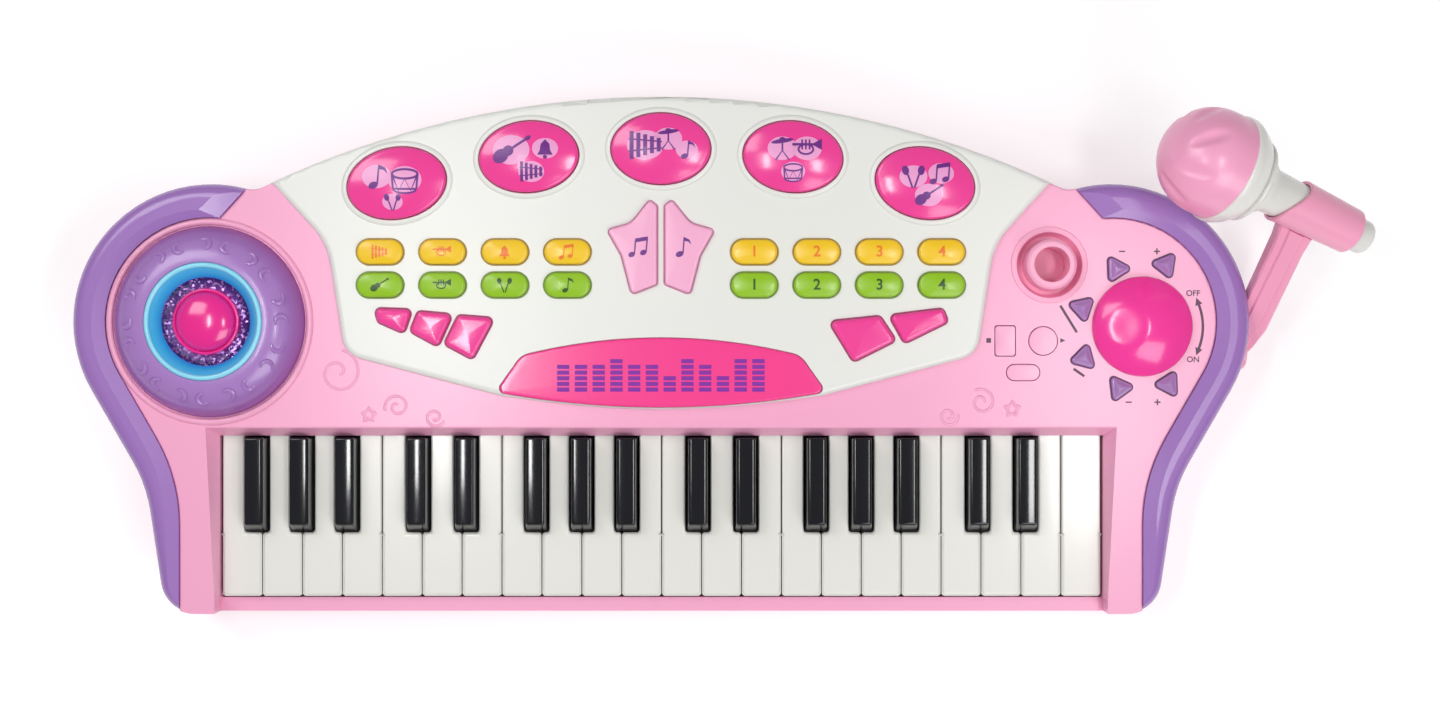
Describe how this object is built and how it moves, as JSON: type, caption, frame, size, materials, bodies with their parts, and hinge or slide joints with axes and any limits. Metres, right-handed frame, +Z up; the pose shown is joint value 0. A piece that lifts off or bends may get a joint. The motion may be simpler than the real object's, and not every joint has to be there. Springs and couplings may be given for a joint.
{
  "type": "toy electronic keyboard",
  "caption": "Toy electronic keyboard with sprung keys, drum pads, sound buttons, a power knob and a microphone held in a swinging clip arm.",
  "frame": {"origin": "middle of the flat underside, on the table", "axes": "+X to the player's right along the keys, +Y from the player to the back, +Z up"},
  "size_m": [0.5505, 0.22, 0.1155],
  "materials": {
    "pink_abs": "gloss",
    "white_abs": "gloss",
    "purple_abs": "gloss",
    "hot_pink_abs": "gloss",
    "blue_clear": "clear tint",
    "pink_lens": "gloss",
    "key_white": "gloss",
    "key_black": "gloss",
    "yellow_abs": "gloss",
    "green_abs": "gloss",
    "clip_pink": "gloss",
    "board": "solder mask",
    "speaker_parts": "paper and frame",
    "steel": "zinc plate"
  },
  "bodies": {
    "case": {"lower_case": "pink_abs", "upper_case": "pink_abs", "control_panel": "white_abs", "side_trims": "purple_abs", "speaker_ring": "purple_abs", "lamp_ring": "blue_clear", "lamp_dome": "hot_pink_abs", "display_lens": "pink_lens", "mic_socket": "pink_abs", "circuit_board": "board", "loudspeaker": "speaker_parts", "battery_door": "pink_abs", "case_screws": "steel"},
    "power_knob": {"power_knob": "hot_pink_abs"},
    "mic_arm": {"mic_arm": "clip_pink"},
    "microphone": {"microphone": "white_abs"},
    "drum_pads": {"drum_pads": "hot_pink_abs"},
    "tone_buttons": {"tone_buttons": "yellow_abs"},
    "rhythm_buttons": {"rhythm_buttons": "green_abs"},
    "star_buttons": {"star_buttons": "pink_abs"},
    "wedge_buttons": {"wedge_buttons": "hot_pink_abs"},
    "triangle_buttons": {"triangle_buttons": "purple_abs"},
    "record_buttons": {"record_buttons": "pink_abs"},
    "white_key_01": {"white_key_01": "key_white"},
    "white_key_02": {"white_key_02": "key_white"},
    "white_key_03": {"white_key_03": "key_white"},
    "white_key_04": {"white_key_04": "key_white"},
    "white_key_05": {"white_key_05": "key_white"},
    "white_key_06": {"white_key_06": "key_white"},
    "white_key_07": {"white_key_07": "key_white"},
    "white_key_08": {"white_key_08": "key_white"},
    "white_key_09": {"white_key_09": "key_white"},
    "white_key_10": {"white_key_10": "key_white"},
    "white_key_11": {"white_key_11": "key_white"},
    "white_key_12": {"white_key_12": "key_white"},
    "white_key_13": {"white_key_13": "key_white"},
    "white_key_14": {"white_key_14": "key_white"},
    "white_key_15": {"white_key_15": "key_white"},
    "white_key_16": {"white_key_16": "key_white"},
    "white_key_17": {"white_key_17": "key_white"},
    "white_key_18": {"white_key_18": "key_white"},
    "white_key_19": {"white_key_19": "key_white"},
    "white_key_20": {"white_key_20": "key_white"},
    "white_key_21": {"white_key_21": "key_white"},
    "white_key_22": {"white_key_22": "key_white"},
    "black_key_01": {"black_key_01": "key_black"},
    "black_key_02": {"black_key_02": "key_black"},
    "black_key_03": {"black_key_03": "key_black"},
    "black_key_04": {"black_key_04": "key_black"},
    "black_key_05": {"black_key_05": "key_black"},
    "black_key_06": {"black_key_06": "key_black"},
    "black_key_07": {"black_key_07": "key_black"},
    "black_key_08": {"black_key_08": "key_black"},
    "black_key_09": {"black_key_09": "key_black"},
    "black_key_10": {"black_key_10": "key_black"},
    "black_key_11": {"black_key_11": "key_black"},
    "black_key_12": {"black_key_12": "key_black"},
    "black_key_13": {"black_key_13": "key_black"},
    "black_key_14": {"black_key_14": "key_black"},
    "black_key_15": {"black_key_15": "key_black"}
  },
  "joints": [
    {"name": "white_key_01_press", "type": "hinge", "parent": "case", "child": "white_key_01", "pos_m": [-0.17955, -0.02348, 0.03202], "axis": [1, 0, 0], "range_deg": [0, 3.5], "stiffness_Nm_per_rad": 0.3, "springref_deg": -5.73},
    {"name": "white_key_02_press", "type": "hinge", "parent": "case", "child": "white_key_02", "pos_m": [-0.16245, -0.02348, 0.03202], "axis": [1, 0, 0], "range_deg": [0, 3.5], "stiffness_Nm_per_rad": 0.3, "springref_deg": -5.73},
    {"name": "white_key_03_press", "type": "hinge", "parent": "case", "child": "white_key_03", "pos_m": [-0.14535, -0.02348, 0.03202], "axis": [1, 0, 0], "range_deg": [0, 3.5], "stiffness_Nm_per_rad": 0.3, "springref_deg": -5.73},
    {"name": "white_key_04_press", "type": "hinge", "parent": "case", "child": "white_key_04", "pos_m": [-0.12825, -0.02348, 0.03202], "axis": [1, 0, 0], "range_deg": [0, 3.5], "stiffness_Nm_per_rad": 0.3, "springref_deg": -5.73},
    {"name": "white_key_05_press", "type": "hinge", "parent": "case", "child": "white_key_05", "pos_m": [-0.11115, -0.02348, 0.03202], "axis": [1, 0, 0], "range_deg": [0, 3.5], "stiffness_Nm_per_rad": 0.3, "springref_deg": -5.73},
    {"name": "white_key_06_press", "type": "hinge", "parent": "case", "child": "white_key_06", "pos_m": [-0.09405, -0.02348, 0.03202], "axis": [1, 0, 0], "range_deg": [0, 3.5], "stiffness_Nm_per_rad": 0.3, "springref_deg": -5.73},
    {"name": "white_key_07_press", "type": "hinge", "parent": "case", "child": "white_key_07", "pos_m": [-0.07695, -0.02348, 0.03202], "axis": [1, 0, 0], "range_deg": [0, 3.5], "stiffness_Nm_per_rad": 0.3, "springref_deg": -5.73},
    {"name": "white_key_08_press", "type": "hinge", "parent": "case", "child": "white_key_08", "pos_m": [-0.05985, -0.02348, 0.03202], "axis": [1, 0, 0], "range_deg": [0, 3.5], "stiffness_Nm_per_rad": 0.3, "springref_deg": -5.73},
    {"name": "white_key_09_press", "type": "hinge", "parent": "case", "child": "white_key_09", "pos_m": [-0.04275, -0.02348, 0.03202], "axis": [1, 0, 0], "range_deg": [0, 3.5], "stiffness_Nm_per_rad": 0.3, "springref_deg": -5.73},
    {"name": "white_key_10_press", "type": "hinge", "parent": "case", "child": "white_key_10", "pos_m": [-0.02565, -0.02348, 0.03202], "axis": [1, 0, 0], "range_deg": [0, 3.5], "stiffness_Nm_per_rad": 0.3, "springref_deg": -5.73},
    {"name": "white_key_11_press", "type": "hinge", "parent": "case", "child": "white_key_11", "pos_m": [-0.00855, -0.02348, 0.03202], "axis": [1, 0, 0], "range_deg": [0, 3.5], "stiffness_Nm_per_rad": 0.3, "springref_deg": -5.73},
    {"name": "white_key_12_press", "type": "hinge", "parent": "case", "child": "white_key_12", "pos_m": [0.00855, -0.02348, 0.03202], "axis": [1, 0, 0], "range_deg": [0, 3.5], "stiffness_Nm_per_rad": 0.3, "springref_deg": -5.73},
    {"name": "white_key_13_press", "type": "hinge", "parent": "case", "child": "white_key_13", "pos_m": [0.02565, -0.02348, 0.03202], "axis": [1, 0, 0], "range_deg": [0, 3.5], "stiffness_Nm_per_rad": 0.3, "springref_deg": -5.73},
    {"name": "white_key_14_press", "type": "hinge", "parent": "case", "child": "white_key_14", "pos_m": [0.04275, -0.02348, 0.03202], "axis": [1, 0, 0], "range_deg": [0, 3.5], "stiffness_Nm_per_rad": 0.3, "springref_deg": -5.73},
    {"name": "white_key_15_press", "type": "hinge", "parent": "case", "child": "white_key_15", "pos_m": [0.05985, -0.02348, 0.03202], "axis": [1, 0, 0], "range_deg": [0, 3.5], "stiffness_Nm_per_rad": 0.3, "springref_deg": -5.73},
    {"name": "white_key_16_press", "type": "hinge", "parent": "case", "child": "white_key_16", "pos_m": [0.07695, -0.02348, 0.03202], "axis": [1, 0, 0], "range_deg": [0, 3.5], "stiffness_Nm_per_rad": 0.3, "springref_deg": -5.73},
    {"name": "white_key_17_press", "type": "hinge", "parent": "case", "child": "white_key_17", "pos_m": [0.09405, -0.02348, 0.03202], "axis": [1, 0, 0], "range_deg": [0, 3.5], "stiffness_Nm_per_rad": 0.3, "springref_deg": -5.73},
    {"name": "white_key_18_press", "type": "hinge", "parent": "case", "child": "white_key_18", "pos_m": [0.11115, -0.02348, 0.03202], "axis": [1, 0, 0], "range_deg": [0, 3.5], "stiffness_Nm_per_rad": 0.3, "springref_deg": -5.73},
    {"name": "white_key_19_press", "type": "hinge", "parent": "case", "child": "white_key_19", "pos_m": [0.12825, -0.02348, 0.03202], "axis": [1, 0, 0], "range_deg": [0, 3.5], "stiffness_Nm_per_rad": 0.3, "springref_deg": -5.73},
    {"name": "white_key_20_press", "type": "hinge", "parent": "case", "child": "white_key_20", "pos_m": [0.14535, -0.02348, 0.03202], "axis": [1, 0, 0], "range_deg": [0, 3.5], "stiffness_Nm_per_rad": 0.3, "springref_deg": -5.73},
    {"name": "white_key_21_press", "type": "hinge", "parent": "case", "child": "white_key_21", "pos_m": [0.16245, -0.02348, 0.03202], "axis": [1, 0, 0], "range_deg": [0, 3.5], "stiffness_Nm_per_rad": 0.3, "springref_deg": -5.73},
    {"name": "white_key_22_press", "type": "hinge", "parent": "case", "child": "white_key_22", "pos_m": [0.17955, -0.02348, 0.03202], "axis": [1, 0, 0], "range_deg": [0, 3.5], "stiffness_Nm_per_rad": 0.3, "springref_deg": -5.73},
    {"name": "black_key_01_press", "type": "hinge", "parent": "case", "child": "black_key_01", "pos_m": [-0.17322, -0.02348, 0.03202], "axis": [1, 0, 0], "range_deg": [0, 4], "stiffness_Nm_per_rad": 0.3, "springref_deg": -5.73},
    {"name": "black_key_02_press", "type": "hinge", "parent": "case", "child": "black_key_02", "pos_m": [-0.1539, -0.02348, 0.03202], "axis": [1, 0, 0], "range_deg": [0, 4], "stiffness_Nm_per_rad": 0.3, "springref_deg": -5.73},
    {"name": "black_key_03_press", "type": "hinge", "parent": "case", "child": "black_key_03", "pos_m": [-0.13458, -0.02348, 0.03202], "axis": [1, 0, 0], "range_deg": [0, 4], "stiffness_Nm_per_rad": 0.3, "springref_deg": -5.73},
    {"name": "black_key_04_press", "type": "hinge", "parent": "case", "child": "black_key_04", "pos_m": [-0.10414, -0.02348, 0.03202], "axis": [1, 0, 0], "range_deg": [0, 4], "stiffness_Nm_per_rad": 0.3, "springref_deg": -5.73},
    {"name": "black_key_05_press", "type": "hinge", "parent": "case", "child": "black_key_05", "pos_m": [-0.08362, -0.02348, 0.03202], "axis": [1, 0, 0], "range_deg": [0, 4], "stiffness_Nm_per_rad": 0.3, "springref_deg": -5.73},
    {"name": "black_key_06_press", "type": "hinge", "parent": "case", "child": "black_key_06", "pos_m": [-0.05352, -0.02348, 0.03202], "axis": [1, 0, 0], "range_deg": [0, 4], "stiffness_Nm_per_rad": 0.3, "springref_deg": -5.73},
    {"name": "black_key_07_press", "type": "hinge", "parent": "case", "child": "black_key_07", "pos_m": [-0.0342, -0.02348, 0.03202], "axis": [1, 0, 0], "range_deg": [0, 4], "stiffness_Nm_per_rad": 0.3, "springref_deg": -5.73},
    {"name": "black_key_08_press", "type": "hinge", "parent": "case", "child": "black_key_08", "pos_m": [-0.01488, -0.02348, 0.03202], "axis": [1, 0, 0], "range_deg": [0, 4], "stiffness_Nm_per_rad": 0.3, "springref_deg": -5.73},
    {"name": "black_key_09_press", "type": "hinge", "parent": "case", "child": "black_key_09", "pos_m": [0.01556, -0.02348, 0.03202], "axis": [1, 0, 0], "range_deg": [0, 4], "stiffness_Nm_per_rad": 0.3, "springref_deg": -5.73},
    {"name": "black_key_10_press", "type": "hinge", "parent": "case", "child": "black_key_10", "pos_m": [0.03608, -0.02348, 0.03202], "axis": [1, 0, 0], "range_deg": [0, 4], "stiffness_Nm_per_rad": 0.3, "springref_deg": -5.73},
    {"name": "black_key_11_press", "type": "hinge", "parent": "case", "child": "black_key_11", "pos_m": [0.06618, -0.02348, 0.03202], "axis": [1, 0, 0], "range_deg": [0, 4], "stiffness_Nm_per_rad": 0.3, "springref_deg": -5.73},
    {"name": "black_key_12_press", "type": "hinge", "parent": "case", "child": "black_key_12", "pos_m": [0.0855, -0.02348, 0.03202], "axis": [1, 0, 0], "range_deg": [0, 4], "stiffness_Nm_per_rad": 0.3, "springref_deg": -5.73},
    {"name": "black_key_13_press", "type": "hinge", "parent": "case", "child": "black_key_13", "pos_m": [0.10482, -0.02348, 0.03202], "axis": [1, 0, 0], "range_deg": [0, 4], "stiffness_Nm_per_rad": 0.3, "springref_deg": -5.73},
    {"name": "black_key_14_press", "type": "hinge", "parent": "case", "child": "black_key_14", "pos_m": [0.13526, -0.02348, 0.03202], "axis": [1, 0, 0], "range_deg": [0, 4], "stiffness_Nm_per_rad": 0.3, "springref_deg": -5.73},
    {"name": "black_key_15_press", "type": "hinge", "parent": "case", "child": "black_key_15", "pos_m": [0.15578, -0.02348, 0.03202], "axis": [1, 0, 0], "range_deg": [0, 4], "stiffness_Nm_per_rad": 0.3, "springref_deg": -5.73},
    {"name": "drum_pads_press", "type": "slide", "parent": "case", "child": "drum_pads", "axis": [0, 0.1045, -0.9945], "range_m": [0, 0.0015], "stiffness_N_per_m": 300, "springref_m": -0.003},
    {"name": "tone_buttons_press", "type": "slide", "parent": "case", "child": "tone_buttons", "axis": [0, 0.1045, -0.9945], "range_m": [0, 0.0015], "stiffness_N_per_m": 300, "springref_m": -0.003},
    {"name": "rhythm_buttons_press", "type": "slide", "parent": "case", "child": "rhythm_buttons", "axis": [0, 0.1045, -0.9945], "range_m": [0, 0.0015], "stiffness_N_per_m": 300, "springref_m": -0.003},
    {"name": "star_buttons_press", "type": "slide", "parent": "case", "child": "star_buttons", "axis": [0, 0.1045, -0.9945], "range_m": [0, 0.0015], "stiffness_N_per_m": 300, "springref_m": -0.003},
    {"name": "wedge_buttons_press", "type": "slide", "parent": "case", "child": "wedge_buttons", "axis": [0, 0.1045, -0.9945], "range_m": [0, 0.0015], "stiffness_N_per_m": 300, "springref_m": -0.003},
    {"name": "triangle_buttons_press", "type": "slide", "parent": "case", "child": "triangle_buttons", "axis": [0, 0.1045, -0.9945], "range_m": [0, 0.0015], "stiffness_N_per_m": 300, "springref_m": -0.003},
    {"name": "record_buttons_press", "type": "slide", "parent": "case", "child": "record_buttons", "axis": [0, 0.1045, -0.9945], "range_m": [0, 0.0015], "stiffness_N_per_m": 300, "springref_m": -0.003},
    {"name": "power_turn", "type": "hinge", "parent": "case", "child": "power_knob", "pos_m": [0.20408, 0.00744, 0.04884], "axis": [0, -0.1045, 0.9945], "range_deg": [-50, 0]},
    {"name": "mic_arm_swing", "type": "hinge", "parent": "case", "child": "mic_arm", "pos_m": [0.2504, -0.00034, 0.02239], "axis": [1, 0, 0], "range_deg": [-15, 40]},
    {"name": "microphone_lift_out", "type": "slide", "parent": "mic_arm", "child": "microphone", "axis": [-0.8657, 0.3242, 0.3813], "range_m": [0, 0.08]}
  ]
}
